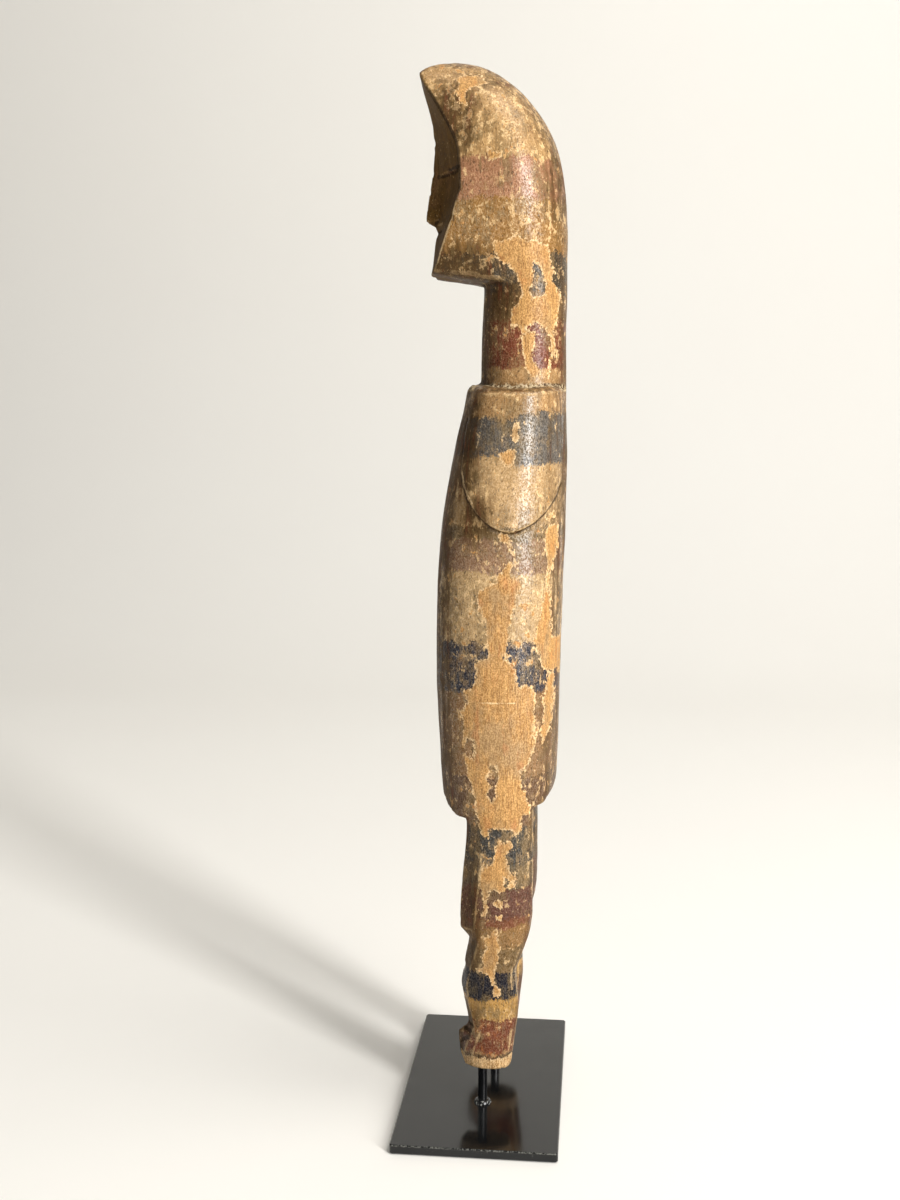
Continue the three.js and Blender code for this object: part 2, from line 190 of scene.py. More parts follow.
# flaked patches of the left side: distance behind the middle and height
flakes = {
    "crown": [
        (-11, 443), (-1, 442.5), (0, 438), (-7.7, 435), (-7, 428), (-10.5, 429.5), (-12, 436)],
    "temple": [
        (1.1, 412), (0.7, 407), (2.3, 405.6), (7, 407), (7.6, 409), (4.6, 409.6), (3, 411.4)],
    "nape": [
        (2, 375.5), (6.4, 375), (12.7, 376.6), (20.6, 375), (26, 374), (28, 368), (28.8, 362.6),
        (27.7, 359.6), (30, 356), (31.9, 353.5), (29.6, 343.6), (28.6, 336), (29.9, 331),
        (27.8, 325), (27.5, 319), (25.9, 319.3), (26.3, 325), (27, 336), (25, 340), (21.5, 342),
        (16.8, 340.5), (15.6, 337.8), (13.6, 340.5), (10.9, 342), (11.3, 347.4), (13.4, 350.5),
        (15.3, 353.5), (13.9, 358.8), (12.2, 362.6), (9.8, 365.7), (5, 367.6), (4, 371)],
    "neck": [
        (16, 340), (20.7, 338.5), (20.7, 334.7), (19.9, 330), (21.5, 325.4), (23.3, 322.4),
        (21.5, 319.3), (18.4, 320), (16.8, 324.7), (16, 330), (15.4, 334.7)],
    "armSpot": [
        (13.6, 301.3), (15.2, 300.5), (15.6, 297.4), (14.4, 294), (13.2, 294), (12.3, 296.6),
        (13, 299.4)],
    "armPatch": [
        (7.7, 288.8), (10.5, 290), (13.6, 290), (14.4, 287.2), (13.6, 284), (11.3, 282.5),
        (8.9, 284), (7.7, 286)],
    "armTip": [(25, 260.8), (29.4, 265.5), (30.4, 262.4), (27.5, 260.5)],
    "back": [
        (26.7, 257.6), (31, 260.4), (32, 254.8), (31.5, 248.4), (29.4, 243.6), (28, 237),
        (28.6, 224.3), (29.4, 211.4), (34.2, 210.6), (33.8, 196.7), (33, 189.4), (32, 193.9),
        (31, 197), (27.5, 196.3), (25, 200), (21.5, 210.7), (24.3, 222.7), (26.3, 232.4),
        (26.7, 244.4), (26, 253)],
    "ribs": [
        (7.3, 255.6), (10.5, 256.4), (12, 254), (13.6, 251.6), (14, 248.4), (12.8, 246.4),
        (11.6, 249), (10.5, 252.4), (8, 252.4)],
    "waist": [
        (8.9, 244.4), (12.4, 244.4), (12.7, 238), (16.8, 236.8), (16.9, 233), (13.6, 224.3),
        (12.4, 217.8), (11.3, 208), (12.8, 205), (4, 205), (4, 210.7), (3.4, 216), (-0.2, 222.7),
        (-1.8, 230), (-1.4, 232.5), (5.7, 235.4), (8, 240)],
    "hip": [
        (1.5, 220.7), (2.7, 207.8), (2.9, 204.8), (0, 203.7), (-2, 201.4), (-2.4, 198.7),
        (-2.2, 195), (-3.5, 192), (-6.5, 190), (-7.2, 188), (-5.8, 184.6), (-8, 181), (-8.7, 179.6),
        (-7.6, 173.4), (-8, 169.6), (-8.3, 164), (-6, 158.7), (-5.4, 152.5), (-3.5, 147.8),
        (-2.4, 142.4), (-1.7, 135.4), (-0.3, 130.7), (0.2, 127.5), (3.2, 126.3), (3.9, 129.5),
        (6.2, 130.7), (13, 130), (14.8, 128.3), (17, 129.5), (17.9, 134.6), (20.3, 137),
        (20.8, 138.5), (19.3, 144.7), (17, 150), (17, 155.6), (20.4, 159.5), (22.6, 165.7),
        (22.6, 172), (22.4, 188.8), (20.8, 192.6), (17.8, 193), (16.4, 192), (15.3, 197),
        (13.4, 201.8), (10.5, 203), (9.4, 205), (9, 211.6), (8.6, 220.7)],
    "loin": [
        (28, 197.6), (30.4, 195), (30.2, 187.3), (29.3, 176.5), (28.2, 170.3), (25.2, 165.7),
        (24.5, 170.3), (25.6, 176.5), (25.6, 188.8), (26.3, 192.6)],
    "thigh": [
        (7.1, 125.2), (14.3, 125.7), (13.8, 122.8), (11.9, 119.3), (12.4, 113.9), (13.2, 111.7),
        (15.7, 109.2), (15.7, 107.5), (14.1, 107.2), (14.8, 104.1), (12.6, 103.9), (12.6, 107),
        (11.2, 110.2), (10, 109.5), (10, 107), (11, 104.1), (10, 103.4), (4, 103.1), (3.3, 95.2),
        (2.4, 91.3), (0.4, 91.8), (0.2, 94.1), (1.5, 95.4), (0.9, 99.2), (0, 103.1), (-0.7, 107),
        (0, 110.5), (0, 115.9), (1.4, 116.9), (3.3, 114.1), (5.5, 115.9), (6.6, 120.8)],
    "knee": [(6.6, 100.1), (9.5, 99.2), (9.5, 95.2), (7.8, 94.3), (5.7, 97.2)],
    "shin": [(6.6, 92.3), (9.7, 92.8), (9, 90.3), (7.8, 89.3)],
    "calf": [
        (5.2, 86.4), (7.6, 85.4), (7.1, 82.4), (8.1, 77.4), (8.1, 71.4), (6.6, 67.5), (6.2, 62.5),
        (6.6, 60.5), (8.1, 58), (8.1, 55), (6.2, 55.5), (5.7, 58.5), (5.2, 62.5), (4.3, 65.5),
        (0.9, 65.5), (-1.5, 67.5), (0.4, 68.4), (1.6, 69.6), (0.9, 72.4), (2.4, 77.4), (2.4, 81.4),
        (3.8, 84.9)],
}

# paint that is left inside the flaked patches
remnants = {
    "nape": [
        (20.8, 366.4), (22.6, 365), (24.4, 358.8), (24, 353.5), (20.5, 352), (18.4, 355),
        (20.3, 358.8)],
    "hip": [(-5.4, 169.6), (-3.2, 168.8), (-2.4, 165.7), (-3.5, 161), (-5.4, 161), (-6.9, 165.7)],
    "hem": [
        (4.2, 158.3), (6.4, 157.5), (7, 154), (6.4, 150), (6.8, 145.5), (4.9, 143.6), (3, 145.5),
        (3.8, 150), (3, 154)],
}

# thin pale lines scratched into the left side
scratches = [
    [(0.7, 304.5), (-0.6, 298), (-2, 291)],
    [(-8.9, 281), (-7.4, 274.5), (-3.6, 268)],
    [(-1, 185.6), (5, 185.2), (11, 185.5), (16, 185)],
]

# soft dark places of the left side, grime and painted shade (under the arm and the jaw, on parts
# facing front): behind the middle, height, reach each way, strength
grimeAndShadePlaces = [
    (2, 440, 22, 9, 0.6), (-13, 424, 14, 22, 1.1), (24, 428, 10, 22, 0.7), (31, 402, 8, 32, 0.95),
    (33, 385, 7, 36, 0.7), (-14, 362, 24, 16, 1.3), (6, 352, 12, 13, 1.0), (-6, 330, 7, 22, 0.5),
    (-6, 306, 7, 15, 1.1), (-9, 290, 9, 30, 1.2), (35, 280, 7, 80, 0.95), (-2, 262, 13, 16, 0.8),
    (-20, 230, 9, 60, 0.7), (33, 152, 6, 20, 0.5), (-18, 150, 9, 26, 0.8), (-4, 88, 6, 50, 0.8),
    (20, 45, 12, 16, 0.5), (-6, 45, 9, 12, 0.6),
]

ageing = {
    "unflaked": -30.0,                      # distance from a loss where there is none near
    "farWiden": 0.12,                       # how the right side's losses differ from the left's
    "farShift": (2.5, 4.0, 30, 31),         # behind, wander, size, seed
    "farLift": (7.0, 6.0, 26, 32),          # up, wander, size, seed
    "middleKeep": (4.0, 0.8),               # half width without losses, how fast they come
    "soleRim": (27.2, 1.2, 7, 33, 0.9),     # height, wander, size, seed, how fast
    "grimeAndShadeFade": 1.4,
    "bellyGrimeAndShade": (0.65, 0.35),             # grime and painted shade: on back and front alike, and more in front
    "turnedAway": (0.34, 0.94),             # how far a surface still faces the side
    "facesFront": (-0.1, 0.5),
    # painted shade on surfaces that face down
    "undersideShade": 1.4,
    "facesDown": (0.35, 0.8),
    "trunkFoot": (120, 130),
    "lessGrimeAndShadeBand": (59, 6, 9, 0.75),          # height, half widths, how much less grime and painted shade
    "facePlane": (0.45, 0.75),
    "faceSpan": ((358, 362), (436, 442)),
    "noseBox": (7, -12),                    # half width, in front of this depth
    "noseSpan": ((359, 362), (396, 404)),
    "headWear": (0.8, 0.6, 0.4),            # strength, less in front, least share
    "headWearFrom": (372, 384),
    "crownWearFrom": (386, 396),
    "napeWearFrom": (0, 9),
    "bellyWear": (222, 12, 24, 0.5),
    "bandFront": (11, 15),
    "rimBox": (5, 14),                      # in front of this depth, outside this half width
    "darkRim": ((388, 394), (434, 440)),
    "paleRim": ((364, 370), (386, 391)),
    "noScratch": 10.0,
    "farEdge": 15,
    # bands where the paint held better: height, half width that is full, half width in all, how much
    "soundBands": [
        (399, 7, 11, 0.8), (294, 8, 12, 0.9), (92, 12, 17, 0.6), (59, 7, 12, 2.2), (34, 6, 12, 0.4)],
    # how polished the paint is, by height
    "polishLevels": [
        (90, 0.2), (140, 0.32), (200, 0.62), (255, 0.9), (300, 0.9), (318, 0.3), (370, 0.35),
        (392, 0.7), (408, 0.2)],
    # how far the arm's grey band is drawn in at its front: height and change of level
    "bandShifts": [(274, 0), (286, -3.2), (289, -3.2), (300, 2.6), (305, 2.6), (312, 0)],
}


def cloudField(points, size, seed, stretch=1.0):
    # smooth noise from -1 to 1 at points in mm
    count = 24          # cells each way before it repeats
    start = 500.0       # added to every cell's number, so that none is below zero
    table = np.random.default_rng(seed).random((count, count, count)) * 2 - 1
    scaled = points / (size * np.array([1.0, 1.0, stretch])) + start
    corner = np.floor(scaled).astype(int)
    part = scaled - corner
    part = part * part * (3 - 2 * part)
    total = np.zeros(len(points))
    for dx in (0, 1):
        for dy in (0, 1):
            for dz in (0, 1):
                weight = np.prod(np.abs(1 - np.array((dx, dy, dz)) - part), axis=1)
                spot = (corner + (dx, dy, dz)) % count
                total += weight * table[spot[:, 0], spot[:, 1], spot[:, 2]]
    return total


def ease(values, low, high):
    share = np.clip((values - low) / (high - low), 0, 1)
    return share * share * (3 - 2 * share)


def within(values, rise, fall):
    # 1 between two soft steps
    return ease(values, *rise) * (1 - ease(values, *fall))


def around(values, middle, full, end):
    return 1 - ease(np.abs(values - middle), full, end)


def byHeight(up, name):
    return np.interp(up, *zip(*ageing[name]))


def fromLine(y, z, start, end):
    # how far each place is from a straight line's nearest point
    stepY, stepZ = end[0] - start[0], end[1] - start[1]
    along = ((y - start[0]) * stepY + (z - start[1]) * stepZ) / (stepY ** 2 + stepZ ** 2)
    along = np.clip(along, 0, 1)
    return np.hypot(y - start[0] - along * stepY, z - start[1] - along * stepZ)


def insideBy(outline, y, z):
    # how far each place lies inside an outline, below zero outside it
    nearest = np.full(len(y), np.inf)
    inside = np.zeros(len(y), dtype=bool)
    for start, end in zip(outline, outline[1:] + outline[:1]):
        nearest = np.minimum(nearest, fromLine(y, z, start, end))
        if start[1] != end[1]:
            slope = (end[0] - start[0]) / (end[1] - start[1])
            crosses = (start[1] > z) != (end[1] > z)
            inside ^= crosses & (y < start[0] + (z - start[1]) * slope)
    return np.where(inside, nearest, -nearest)


def onSmoothRun(spot):
    # the legs' outer sides run on into the trunk and the nape into the head without an edge
    x, y, z = (v / mm for v in spot)
    low, high, side = carving["hipSeam"]
    napeLow, napeHigh, behind = carving["napeSeam"]
    return low < z < high and abs(x) > side or napeLow < z < napeHigh and y > behind


def readSolid(node):
    # the solid's surface, and points along its carved edges: ridges and recesses
    shape = bmesh.new()
    shape.from_mesh(node.data)
    bmesh.ops.remove_doubles(shape, verts=shape.verts, dist=carving["weld"] * mm)
    found = {"ridge": [], "recess": []}
    for edge in shape.edges:
        if len(edge.link_faces) != 2:
            continue
        if edge.calc_face_angle(0) < math.radians(carving["edgeAngle"]):
            continue
        start, end = (v.co for v in edge.verts)
        if onSmoothRun(start) and onSmoothRun(end):
            continue
        steps = max(1, int(edge.calc_length() / (carving["edgeStep"] * mm)))
        kind = "ridge" if edge.is_convex else "recess"
        found[kind] += [start.lerp(end, i / steps) for i in range(steps + 1)]
    surface = bvhtree.BVHTree.FromBMesh(shape)
    shape.free()
    trees = {}
    for kind, spots in found.items():
        trees[kind] = kdtree.KDTree(len(spots))
        for i, spot in enumerate(spots):
            trees[kind].insert(spot, i)
        trees[kind].balance()
    return surface, trees


def evenCopy(node):
    # the solid's own shape on an even, fine mesh
    piece = bpy.data.objects.new("carvedFigure", node.data.copy())
    bpy.context.collection.objects.link(piece)
    even = piece.modifiers.new("even", "REMESH")
    even.mode = "VOXEL"
    even.voxel_size = carving["voxel"] * mm
    mesh = bpy.data.meshes.new_from_object(piece.evaluated_get(bpy.context.evaluated_depsgraph_get()))
    piece.modifiers.clear()
    piece.data = mesh
    return piece


def readVectors(items, name):
    values = np.empty(len(items) * 3)
    items.foreach_get(name, values)
    return values.reshape(-1, 3)


def writePoints(mesh, points):
    mesh.vertices.foreach_set("co", (points * mm).ravel())
    mesh.update()


def fitToSolid(mesh, surface, trees):
    # points on the solid's surface, those near a carved edge on the edge itself
    spots = [surface.find_nearest(Vector(p))[0] for p in readVectors(mesh.vertices, "co")]
    for i, spot in enumerate(spots):
        near = min((tree.find(spot) for tree in trees.values()), key=lambda found: found[2])
        if near[2] < carving["snap"] * carving["voxel"] * mm:
            spots[i] = near[0]
    distance = {
        kind: np.array([tree.find(spot)[2] for spot in spots]) / mm for kind, tree in trees.items()}
    return np.array(spots) / mm, distance


def freeToMove(points):
    # 0 in the rods' sockets, and 0 on the soles
    socket = np.full(len(points), np.inf)
    for name in ("left_rod", "right_rod"):
        low, high = (np.array(corner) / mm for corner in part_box(name))
        middle = (low + high) / 2
        socket = np.minimum(socket, np.hypot(points[:, 0] - middle[0], points[:, 1] - middle[1]))
    free = np.where(points[:, 2] < carving["socketTop"], ease(socket, *carving["keepNearRod"]), 1.0)
    return free, ease(points[:, 2], *carving["soleKeep"])


def smoothed(points, mesh, pull):
    edges = np.empty(len(mesh.edges) * 2, dtype=int)
    mesh.edges.foreach_get("vertices", edges)
    edges = edges.reshape(-1, 2)
    start, end = np.concatenate([edges, edges[:, ::-1]]).T
    count = np.bincount(start, minlength=len(points))[:, None]
    for _ in range(carving["smoothing"]):
        total = np.stack([np.bincount(start, points[end, k], len(points)) for k in range(3)], axis=1)
        points = points + (total / count - points) * pull[:, None]
    return points


def toolWork(points, distance):
    # how far the knife, knocks and the crust move the surface in or out
    push = np.zeros(len(points))
    for size, depth, seed in carving["waves"]:
        push += cloudField(points, size, seed) * depth
    size, stretch, depth, seed = carving["toolMarks"]
    push += cloudField(points, size, seed, stretch) * depth
    size, seed, low, high = carving["chips"]
    chips = ease(cloudField(points, size, seed), low, high)
    chips *= 1 - ease(distance["ridge"], *carving["chipReach"])
    push -= chips * carving["chipDepth"]
    height, size, seed = carving["crustWander"]
    neckFoot = np.abs(points[:, 2] - carving["crustLevel"] - height * cloudField(points, size, seed))
    crust = 1 - ease(neckFoot, *carving["crustReach"])
    crust *= 1 - ease(distance["recess"], *carving["crustFromEdge"])
    even, size, seed = carving["crustLumps"]
    push += crust * (even + cloudField(points, size, seed)) * carving["crustHeight"]
    return push, crust


def besideLeft(points):
    # places on the left side's drawing: the right side's losses sit elsewhere
    across, depth, up = points.T
    far = np.where(across > 0, 0.0, 1.0)
    behind, wander, size, seed = ageing["farShift"]
    y = depth * (1 - ageing["farWiden"] * far)
    y += far * (behind + wander * cloudField(points, size, seed))
    lift, wander, size, seed = ageing["farLift"]
    return y, up + far * (lift + wander * cloudField(points, size, seed))


def bareWoodField(points, y, z):
    across, up = points[:, 0], points[:, 2]
    bare = np.full(len(points), ageing["unflaked"])
    for outline in flakes.values():
        bare = np.maximum(bare, insideBy(outline, y, z))
    for outline in remnants.values():
        bare = np.minimum(bare, -insideBy(outline, y, z))
    middle, slope = ageing["middleKeep"]
    bare = np.minimum(bare, (np.abs(across) - middle) * slope)
    rim, wander, size, seed, slope = ageing["soleRim"]
    return np.maximum(bare, (rim + wander * cloudField(points, size, seed) - up) * slope)


# dark places, surfaces turned from the side and undersides: grime and painted shade
def grimeAndShadeField(points, normals, y, z):
    up = points[:, 2]
    grime = np.zeros(len(points))
    for middleY, middleZ, reachY, reachZ, strength in grimeAndShadePlaces:
        away = ((y - middleY) / reachY) ** 2 + ((z - middleZ) / reachZ) ** 2
        grime = np.maximum(grime, strength * np.exp(-away * ageing["grimeAndShadeFade"]))
    least, more = ageing["bellyGrimeAndShade"]
    belly = least + more * ease(-normals[:, 1], *ageing["facesFront"])
    grime = np.maximum(grime, belly * (1 - ease(np.abs(normals[:, 0]), *ageing["turnedAway"])))
    # painted shade under overhangs: surfaces facing down, above the feet
    below = ease(-normals[:, 2], *ageing["facesDown"]) * ease(up, *ageing["trunkFoot"])
    grime = np.maximum(grime, ageing["undersideShade"] * below)
    middle, full, end, share = ageing["lessGrimeAndShadeBand"]
    return grime * (1 - share * around(up, middle, full, end))


def wearField(points, normals):
    depth, up = points[:, 1], points[:, 2]
    strength, lessFront, least = ageing["headWear"]
    crown = np.maximum(ease(up, *ageing["crownWearFrom"]), ease(depth, *ageing["napeWearFrom"]))
    wear = strength * ease(up, *ageing["headWearFrom"]) * (least + (1 - least) * crown)
    wear *= 1 - lessFront * ease(-normals[:, 1], *ageing["facesFront"])
    middle, full, end, share = ageing["bellyWear"]
    wear = np.maximum(wear, share * around(up, middle, full, end))
    for middle, full, end, share in ageing["soundBands"]:
        wear -= share * around(up, middle, full, end)
    return wear


def faceField(points, normals):
    across, depth, up = points.T
    face = ease(-normals[:, 1], *ageing["facePlane"]) * within(up, *ageing["faceSpan"])
    halfWidth, front = ageing["noseBox"]
    nose = (np.abs(across) < halfWidth) & (depth < front)
    return np.maximum(face, nose * within(up, *ageing["noseSpan"]))


def scratchField(points):
    # distance from the nearest scratch, on the left side only
    across, depth, up = points.T
    away = np.full(len(points), ageing["noScratch"])
    for line in scratches:
        for start, end in zip(line, line[1:]):
            away = np.minimum(away, fromLine(depth, up, start, end))
    return np.where(across > 0, away, ageing["noScratch"])


def paintFields(points, normals, distance, crust):
    # where the paint is gone, dirty or darkened by painted shade, worn or polished
    across, depth, up = points.T
    y, z = besideLeft(points)
    front, side = ageing["rimBox"]
    onRim = (depth < front) & (np.abs(across) > side)
    return {
        "bare": bareWoodField(points, y, z),
        "grime": grimeAndShadeField(points, normals, y, z),
        "face": faceField(points, normals),
        "wear": wearField(points, normals),
        "rimDark": within(up, *ageing["darkRim"]) * onRim,
        "rimPale": within(up, *ageing["paleRim"]) * onRim,
        "scratch": scratchField(points),
        "crust": crust,
        "shift": byHeight(up, "bandShifts") * (1 - ease(depth, *ageing["bandFront"])),
        "polish": byHeight(up, "polishLevels"),
        "ridge": np.minimum(distance["ridge"], ageing["farEdge"]),
        "recess": np.minimum(distance["recess"], ageing["farEdge"]),
    }


def carveFigure(node):
    surface, trees = readSolid(node)
    piece = evenCopy(node)
    mesh = piece.data
    points, distance = fitToSolid(mesh, surface, trees)
    free, soleFree = freeToMove(points)
    sharp = np.minimum(distance["ridge"], distance["recess"])
    pull = carving["leastPull"] + carving["pull"] * ease(sharp, *carving["keepNearEdge"])
    pull *= free * (carving["solePull"] + (1 - carving["solePull"]) * soleFree)
    points = smoothed(points, mesh, pull)
    writePoints(mesh, points)
    normals = readVectors(mesh.vertex_normals, "vector")
    push, crust = toolWork(points, distance)
    writePoints(mesh, points + normals * (push * free * soleFree)[:, None])
    for name, values in paintFields(points, normals, distance, crust).items():
        layer = mesh.attributes.new(name, "FLOAT", "POINT")
        layer.data.foreach_set("value", values.astype(np.float32))
    for polygon in mesh.polygons:
        polygon.use_smooth = True
    print("figure: triangles", sum(len(p.vertices) - 2 for p in mesh.polygons))
    return piece


woodColours = {
    "bareWood": (204, 158, 98),
    "bareWoodDeep": (184, 137, 82),
    "pore": (108, 74, 44),
    "stain": (172, 140, 98),
    "redStain": (186, 118, 68),
    "footOrange": (190, 112, 58),
    "paleRim": (234, 204, 158),
    "rubbed": (184, 148, 102),
    # the patina colours serve for dirt and also for painted shade
    "olive": (112, 94, 62),
    "patinaAndShade": (80, 59, 33),
    "deepPatinaAndShade": (48, 36, 25),
    "faceBrown": (100, 73, 31),
    "redBrown": (98, 56, 34),
    "fleck": (222, 188, 138),
    "crust": (206, 186, 150),
}
clouds = {
    # size of the lumps in mm, how much longer upwards, detail, roughness
    "dust": (0.55, 1.3, 2.0, 0.6),
    "crumb": (1.1, 1.2, 3.0, 0.6),
    "rag": (3.2, 1.3, 5.0, 0.65),
    "mottle": (5.5, 1.4, 5.0, 0.65),
    "patch": (13, 1.5, 5.0, 0.6),
    "streak": (0.9, 14, 3.0, 0.6),
    "broadStreak": (3.4, 9, 4.0, 0.6),
    "pit": (0.8, 2.2, 2.0, 0.5),
    "pore": (0.5, 9, 2.0, 0.6),
    "fibre": (0.42, 24, 2.0, 0.6),
}
layers = {
    # shares of the clouds, from where it shows to where it is full, and its strength at both
    # grime and painted shade, frayed by these clouds
    "grime": ({"broadStreak": 0.45, "mottle": 0.3, "dust": 0.25}, (0.38, 0.58), (0.4, 1.25)),
    "orange": ({"broadStreak": 0.55, "rag": 0.45}, (0.50, 0.58), (0, 0.6)),
    "rubbed": (
        {"mottle": 0.6, "patch": 0.25, "streak": 0.15, "dust": 0.15, "wear": 0.03},
        (0.545, 0.665), (0, 0.5)),
    "olive": ({"patch": 0.5, "mottle": 0.25, "streak": 0.25, "dust": 0.2}, (0.57, 0.68), (0, 0.6)),
    "reddish": ({"broadStreak": 0.6, "streak": 0.4}, (0.52, 0.62), (0, 1)),
    "oliveDirtAndShade": ({"mottle": 0.5, "streak": 0.5}, (0.52, 0.64), (0, 0.8)),
    "faceBrown": ({"streak": 0.7, "dust": 0.3}, (0.25, 0.7), (0.95, 0.6175)),
    "thin": ({"rag": 0.85, "streak": 0.15, "wear": 0.05}, (0.575, 0.595), (0, 0.65)),
    "crumbs": ({"crumb": 1, "wear": 0.025}, (0.65, 0.68), (0, 0.75)),
    "pits": ({"pit": 1}, (0.60, 0.68), (0, 0.6)),
    "paleWood": ({"streak": 0.6, "dust": 0.4}, (0.38, 0.60), (0, 1)),
    "stain": ({"patch": 1}, (0.48, 0.66), (0, 0.8)),
    "pores": ({"pore": 1}, (0.57, 0.66), (0, 0.55)),
    "fibres": ({"fibre": 1}, (0.54, 0.62), (0, 0.3)),
    "redStain": ({"broadStreak": 0.5, "mottle": 0.5}, (0.53, 0.62), (0, 0.4)),
    "flaked": ({"rag": 0.6, "mottle": 0.4, "wear": 0.035}, (0.605, 0.61), (0, 1)),
    "cream": ({"dust": 0.5, "streak": 0.5}, (0.40, 0.56), (0, 0.6)),
    "paleRim": ({"crumb": 1}, (0.42, 0.56), (0, 0.75)),
    "scratched": ({"rag": 1}, (0.40, 0.50), (0, 0.7)),
    "ridgeWorn": ({"mottle": 1}, (0.40, 0.54), (0, 0.6)),
    "crust": ({"crumb": 0.6, "rag": 0.4}, (0.47, 0.51), (0, 1)),
    "specks": ({"dust": 1}, (0.38, 0.62), (0, 1)),
    "blots": ({"rag": 0.6, "crumb": 0.4}, (0.40, 0.60), (0, 1)),
    "polished": ({"dust": 0.6, "crumb": 0.4}, (0.42, 0.60), (0.05, 1)),
}
edges = {
    # distance, mm that the clouds fray it by, from where to where in mm
    "lost": ("bare", {"rag": 6, "crumb": 3}, (-0.1, 0.12)),
    "rimStart": ("bare", {"rag": 6, "crumb": 3}, (0.02, 0.2)),
    "rimEnd": ("bare", {"rag": 6, "crumb": 3}, (1.2, 0.5)),
    "soleAbove": ("bare", {"rag": 6, "crumb": 3}, (-1.4, -0.8)),
    "soleBelow": ("bare", {"rag": 6, "crumb": 3}, (0.4, -0.2)),
    "scratch": ("scratch", {"crumb": 1.2}, (0.42, 0.18)),
    "ridge": ("ridge", {"crumb": 1.8, "broadStreak": 1.8}, (0.7, 0.3)),
    "darkRim": ("ridge", {"crumb": 1}, (1.2, 0.5)),
    "paleRim": ("ridge", {"crumb": 1}, (0.8, 0.4)),
    "recess": ("recess", {"crumb": 1.6, "mottle": 3}, (1.2, 0.2)),
}
finish = {
    # a pair is where a soft step starts and ends, a second pair beside it is the strength at both
    "paintTop": 460,                # mm, just above the figure
    "bands": [
        # foot of each band in mm, and its colour
        (0, (184, 146, 100)), (27.7, (122, 68, 44)), (44.8, (204, 158, 88)), (52.4, (22, 21, 34)),
        (65.6, (122, 96, 60)), (75.5, (146, 110, 66)), (85.8, (124, 76, 50)), (89, (104, 68, 54)),
        (103.8, (106, 90, 68)), (114.4, (66, 64, 60)), (130.2, (110, 82, 58)), (152, (148, 112, 74)),
        (188.4, (52, 52, 62)), (209.0, (194, 162, 116)), (237.2, (150, 117, 89)),
        (252.6, (126, 104, 72)), (258, (194, 159, 112)), (283.6, (97, 91, 84)),
        (304, (180, 141, 94)), (322.4, (124, 70, 48)), (341.6, (130, 102, 68)),
        (352.5, (76, 68, 56)), (368.5, (160, 119, 67)), (391.6, (168, 122, 90)),
        (407.6, (190, 152, 102))],
    "bandFray": {"rag": 6, "dust": 5, "patch": 9},      # mm
    "footBand": (46, 42),           # mm: the red of the feet shows orange below
    "creamBand": (29.5, 26.5),
    "soleBand": (36, 32),
    "lowShadeBand": (60, 135),       # mm: painted shade, darker towards the feet
    "lowShade": 0.84,
    # where there is neither grime nor painted shade
    "cleanAndLit": ((0.9, 0.3), (0.35, 1.0)),
    # how strongly dirt and painted shade darken the paint
    "dirtAndShade": ((0.08, 0.9), (0.0, 0.92)),
    "crackClouds": {"rag": 0.8, "mottle": 0.2},
    "crackLevel": -0.045,           # where the cracks lie in the clouds
    "crackWidth": (0.006, 0.002),
    "crackWear": ((0.1, 0.6), (0, 0.45)),
    "soleLine": 0.7,
    "darkRim": 0.8,
    "paleRim": 0.7,
    "recess": 0.75,
    "crustFoot": 0.5,
    "crust": 0.9,
    "speckTones": ((0.76, 0.74, 0.72, 1), (1.14, 1.14, 1.14, 1)),
    "blotTones": ((0.86, 0.85, 0.84, 1), (1.1, 1.1, 1.1, 1)),
    "rough": 0.28,
    "roughClouds": {"patch": 0.3, "dust": 0.3},
    "bareRough": 0.16,
    "dirtRough": 0.3,
    "matt": ((0.4, 1.0), (0.0, 0.7)),
    "mattRough": 0.4,
    "barePolish": 0.5,
    "polishGrimeAndShade": (0.65, 0.2),
    "coatRough": 0.38,
    "coatIndex": 2.2,
    "specular": 0.1,
    "relief": {"crumb": 0.4, "dust": 0.28, "streak": 0.35, "pit": -0.2},
    "paintStep": 0.35,
    "crustStep": 0.6,
    "bump": 0.8,
    "grain": 0.4,                   # mm that a full relief stands out
}
look = {name: tone(*colour) for name, colour in woodColours.items()}
paintFieldNames = (
    "bare", "grime", "face", "wear", "rimDark", "rimPale", "scratch", "crust", "shift", "polish",
    "ridge", "recess")


def woodParts(place):
    # the clouds, the figure's own fields and the height
    parts = {name: place.cloud(*values) for name, values in clouds.items()}
    for name in paintFieldNames:
        parts[name] = place.field(name)
    parts["height"] = place.part(2)
    return parts


def layer(wood, name):
    shares, span, strength = layers[name]
    return sum(wood[part] * share for part, share in shares.items()).ease(*span, *strength)


def spread(wood, shares):
    # clouds added up, as much below zero as above
    return sum((wood[part] - 0.5) * share for part, share in shares.items())


def edge(wood, name):
    field, fray, span = edges[name]
    return (wood[field] + spread(wood, fray)).ease(*span)


def below(wood, name):
    # 0 above the first height and 1 below the second
    return wood["height"].ease(*(level * mm for level in finish[name]))


